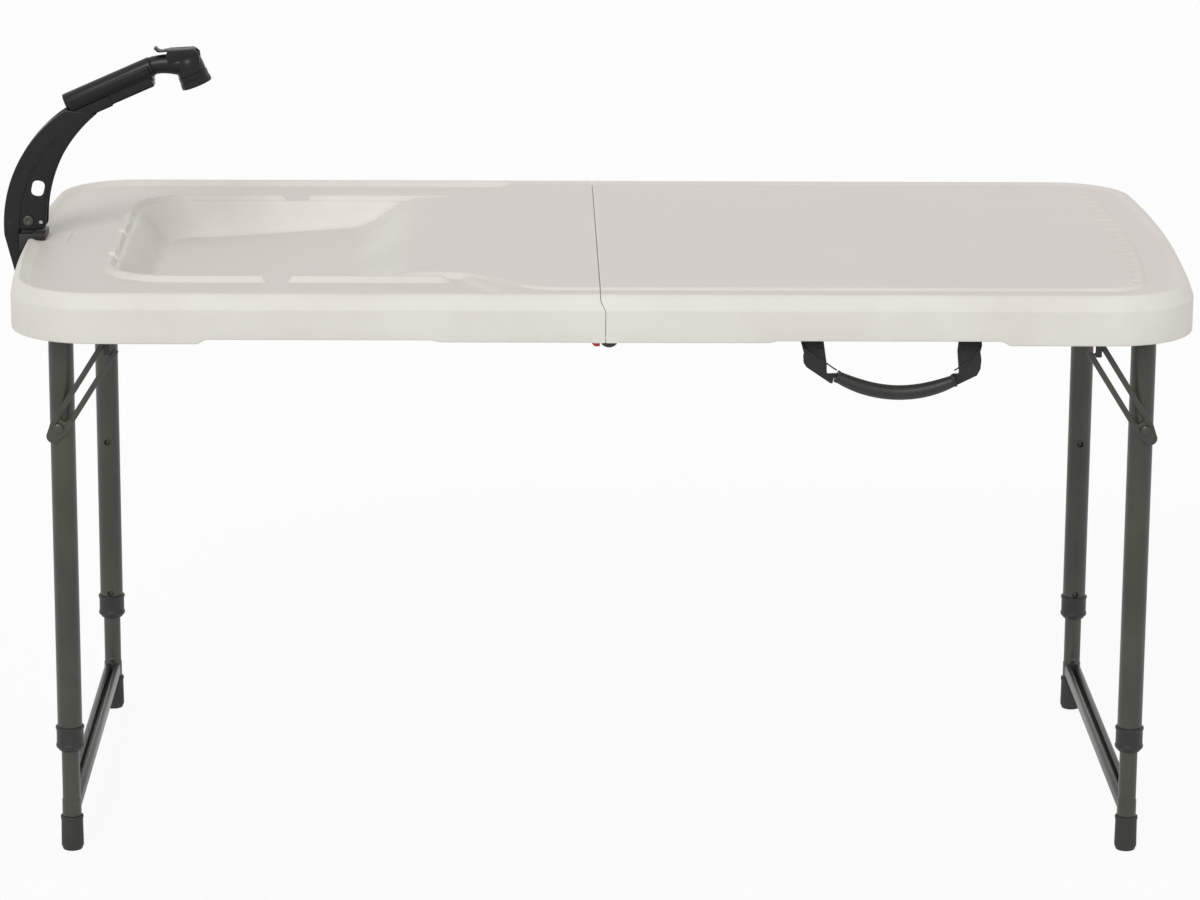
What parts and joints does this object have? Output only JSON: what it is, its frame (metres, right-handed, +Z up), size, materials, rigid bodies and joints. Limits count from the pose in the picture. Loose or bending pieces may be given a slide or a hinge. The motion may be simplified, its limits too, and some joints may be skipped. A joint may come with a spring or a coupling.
{
  "type": "fish cleaning table",
  "caption": "Folding camp table for cleaning fish, with a ramped basin and spray arm on one half, a ruled cutting deck on the other, and telescoping folding legs",
  "frame": {"origin": "ground level under the middle of the table's overall length and width", "axes": "+X to the right of the user, the basin half at -X; +Y away from the user; +Z up"},
  "size_m": [1.2357, 0.61, 0.7993],
  "materials": {
    "moulded_top": "fine grained",
    "coated_steel": "powder coated, satin",
    "plated_steel": "zinc plated",
    "black_plastic": "moulded",
    "faucet_plastic": "satin",
    "black_rubber": "matte",
    "webbing": "woven",
    "red_plastic": "semi-gloss"
  },
  "bodies": {
    "left_half": {"left_top": "moulded_top", "front_hinge_left_leaf": "plated_steel", "rear_hinge_left_leaf": "plated_steel", "front_hinge_pin": "plated_steel", "rear_hinge_pin": "plated_steel", "left_front_pivot_saddle": "black_plastic", "left_rear_pivot_saddle": "black_plastic", "left_front_stay_keeper": "black_plastic", "left_rear_stay_keeper": "black_plastic", "faucet_clamp": "faucet_plastic", "faucet_arm_pin": "plated_steel", "drain_fitting": "black_plastic", "drain_nut": "black_plastic"},
    "right_half": {"right_top": "moulded_top", "front_hinge_right_leaf": "plated_steel", "rear_hinge_right_leaf": "plated_steel", "right_front_pivot_saddle": "black_plastic", "right_rear_pivot_saddle": "black_plastic", "right_front_stay_keeper": "black_plastic", "right_rear_stay_keeper": "black_plastic", "left_handle_anchor": "black_plastic", "right_handle_anchor": "black_plastic", "latch_catch": "black_plastic"},
    "left_leg": {"left_leg_upper_frame": "coated_steel", "left_front_leg_collar": "black_plastic", "left_rear_leg_collar": "black_plastic"},
    "left_leg_extension": {"left_leg_lower_frame": "coated_steel", "left_front_foot": "black_rubber", "left_rear_foot": "black_rubber", "left_front_clip_spring": "plated_steel", "left_rear_clip_spring": "plated_steel"},
    "right_leg": {"right_leg_upper_frame": "coated_steel", "right_front_leg_collar": "black_plastic", "right_rear_leg_collar": "black_plastic"},
    "right_leg_extension": {"right_leg_lower_frame": "coated_steel", "right_front_foot": "black_rubber", "right_rear_foot": "black_rubber", "right_front_clip_spring": "plated_steel", "right_rear_clip_spring": "plated_steel"},
    "left_front_stay": {"left_front_leg_stay": "coated_steel"},
    "left_front_button": {"left_front_snap_button": "plated_steel"},
    "left_rear_stay": {"left_rear_leg_stay": "coated_steel"},
    "left_rear_button": {"left_rear_snap_button": "plated_steel"},
    "right_front_stay": {"right_front_leg_stay": "coated_steel"},
    "right_front_button": {"right_front_snap_button": "plated_steel"},
    "right_rear_stay": {"right_rear_leg_stay": "coated_steel"},
    "right_rear_button": {"right_rear_snap_button": "plated_steel"},
    "faucet_arm": {"faucet_arm": "faucet_plastic", "sprayer_grip": "faucet_plastic", "inlet_washer": "black_rubber", "sprayer_head": "faucet_plastic"},
    "outlet_ring": {"outlet_ring": "faucet_plastic"},
    "spray_lever": {"spray_lever": "faucet_plastic"},
    "handle": {"left_handle_strap": "webbing", "right_handle_strap": "webbing", "handle_grip": "black_plastic"},
    "latch_tab": {"latch_tab": "red_plastic"},
    "drain_plug": {"drain_plug": "black_rubber"}
  },
  "joints": [
    {"name": "table_fold", "type": "hinge", "parent": "left_half", "child": "right_half", "pos_m": [0.011, 0, 0.553], "axis": [0, 1, 0], "range_deg": [0, 80]},
    {"name": "left_leg_fold", "type": "hinge", "parent": "left_half", "child": "left_leg", "pos_m": [-0.537, 0, 0.564], "axis": [0, -1, 0], "range_deg": [0, 88]},
    {"name": "left_leg_slide", "type": "slide", "parent": "left_leg", "child": "left_leg_extension", "axis": [0, 0, 1], "range_m": [-0.305, 0.036], "deforming": ["left_front_snap_button", "left_rear_snap_button"]},
    {"name": "left_front_stay_turn", "type": "hinge", "parent": "left_leg", "child": "left_front_stay", "pos_m": [-0.54, -0.2595, 0.453], "axis": [0, -1, 0], "range_deg": [0, 37]},
    {"name": "left_rear_stay_turn", "type": "hinge", "parent": "left_leg", "child": "left_rear_stay", "pos_m": [-0.54, 0.2595, 0.453], "axis": [0, -1, 0], "range_deg": [0, 37]},
    {"name": "right_leg_fold", "type": "hinge", "parent": "right_half", "child": "right_leg", "pos_m": [0.557, 0, 0.564], "axis": [0, 1, 0], "range_deg": [0, 88]},
    {"name": "right_leg_slide", "type": "slide", "parent": "right_leg", "child": "right_leg_extension", "axis": [0, 0, 1], "range_m": [-0.305, 0.036], "deforming": ["right_front_snap_button", "right_rear_snap_button"]},
    {"name": "right_front_stay_turn", "type": "hinge", "parent": "right_leg", "child": "right_front_stay", "pos_m": [0.56, -0.2595, 0.453], "axis": [0, 1, 0], "range_deg": [0, 37]},
    {"name": "right_rear_stay_turn", "type": "hinge", "parent": "right_leg", "child": "right_rear_stay", "pos_m": [0.56, 0.2595, 0.453], "axis": [0, 1, 0], "range_deg": [0, 37]},
    {"name": "left_front_button_press", "type": "slide", "parent": "left_leg_extension", "child": "left_front_button", "axis": [0, -1, 0], "range_m": [0, 0.0045], "stiffness_N_per_m": 600, "springref_m": -0.002},
    {"name": "left_rear_button_press", "type": "slide", "parent": "left_leg_extension", "child": "left_rear_button", "axis": [0, 1, 0], "range_m": [0, 0.0045], "stiffness_N_per_m": 600, "springref_m": -0.002},
    {"name": "right_front_button_press", "type": "slide", "parent": "right_leg_extension", "child": "right_front_button", "axis": [0, -1, 0], "range_m": [0, 0.0045], "stiffness_N_per_m": 600, "springref_m": -0.002},
    {"name": "right_rear_button_press", "type": "slide", "parent": "right_leg_extension", "child": "right_rear_button", "axis": [0, 1, 0], "range_m": [0, 0.0045], "stiffness_N_per_m": 600, "springref_m": -0.002},
    {"name": "faucet_arm_fold", "type": "hinge", "parent": "left_half", "child": "faucet_arm", "pos_m": [-0.592, 0, 0.617], "axis": [0, 1, 0], "range_deg": [0, 34]},
    {"name": "outlet_ring_turn", "type": "hinge", "parent": "faucet_arm", "child": "outlet_ring", "pos_m": [-0.413, 0, 0.76], "axis": [-0.3697, 0, 0.9291], "range_deg": [0, 90]},
    {"name": "spray_lever_press", "type": "hinge", "parent": "faucet_arm", "child": "spray_lever", "pos_m": [-0.42244, 0, 0.79563], "axis": [0, -1, 0], "range_deg": [0, 6], "stiffness_Nm_per_rad": 0.6, "springref_deg": -5.73},
    {"name": "handle_swing", "type": "hinge", "parent": "right_half", "child": "handle", "pos_m": [0.30062, -0.2865, 0.5515], "axis": [1, 0, 0], "range_deg": [-85, 20]},
    {"name": "latch_tab_slide", "type": "slide", "parent": "left_half", "child": "latch_tab", "axis": [-1, 0, 0], "range_m": [0, 0.003], "stiffness_N_per_m": 300, "springref_m": -0.002},
    {"name": "drain_plug_lift", "type": "slide", "parent": "left_half", "child": "drain_plug", "axis": [0, 0, 1], "range_m": [0, 0.05]}
  ],
  "couplings": [
    {"joint": "left_front_stay_turn", "follows": "left_leg_fold", "ratio": 0.42},
    {"joint": "left_rear_stay_turn", "follows": "left_leg_fold", "ratio": 0.42},
    {"joint": "right_front_stay_turn", "follows": "right_leg_fold", "ratio": 0.42},
    {"joint": "right_rear_stay_turn", "follows": "right_leg_fold", "ratio": 0.42}
  ]
}
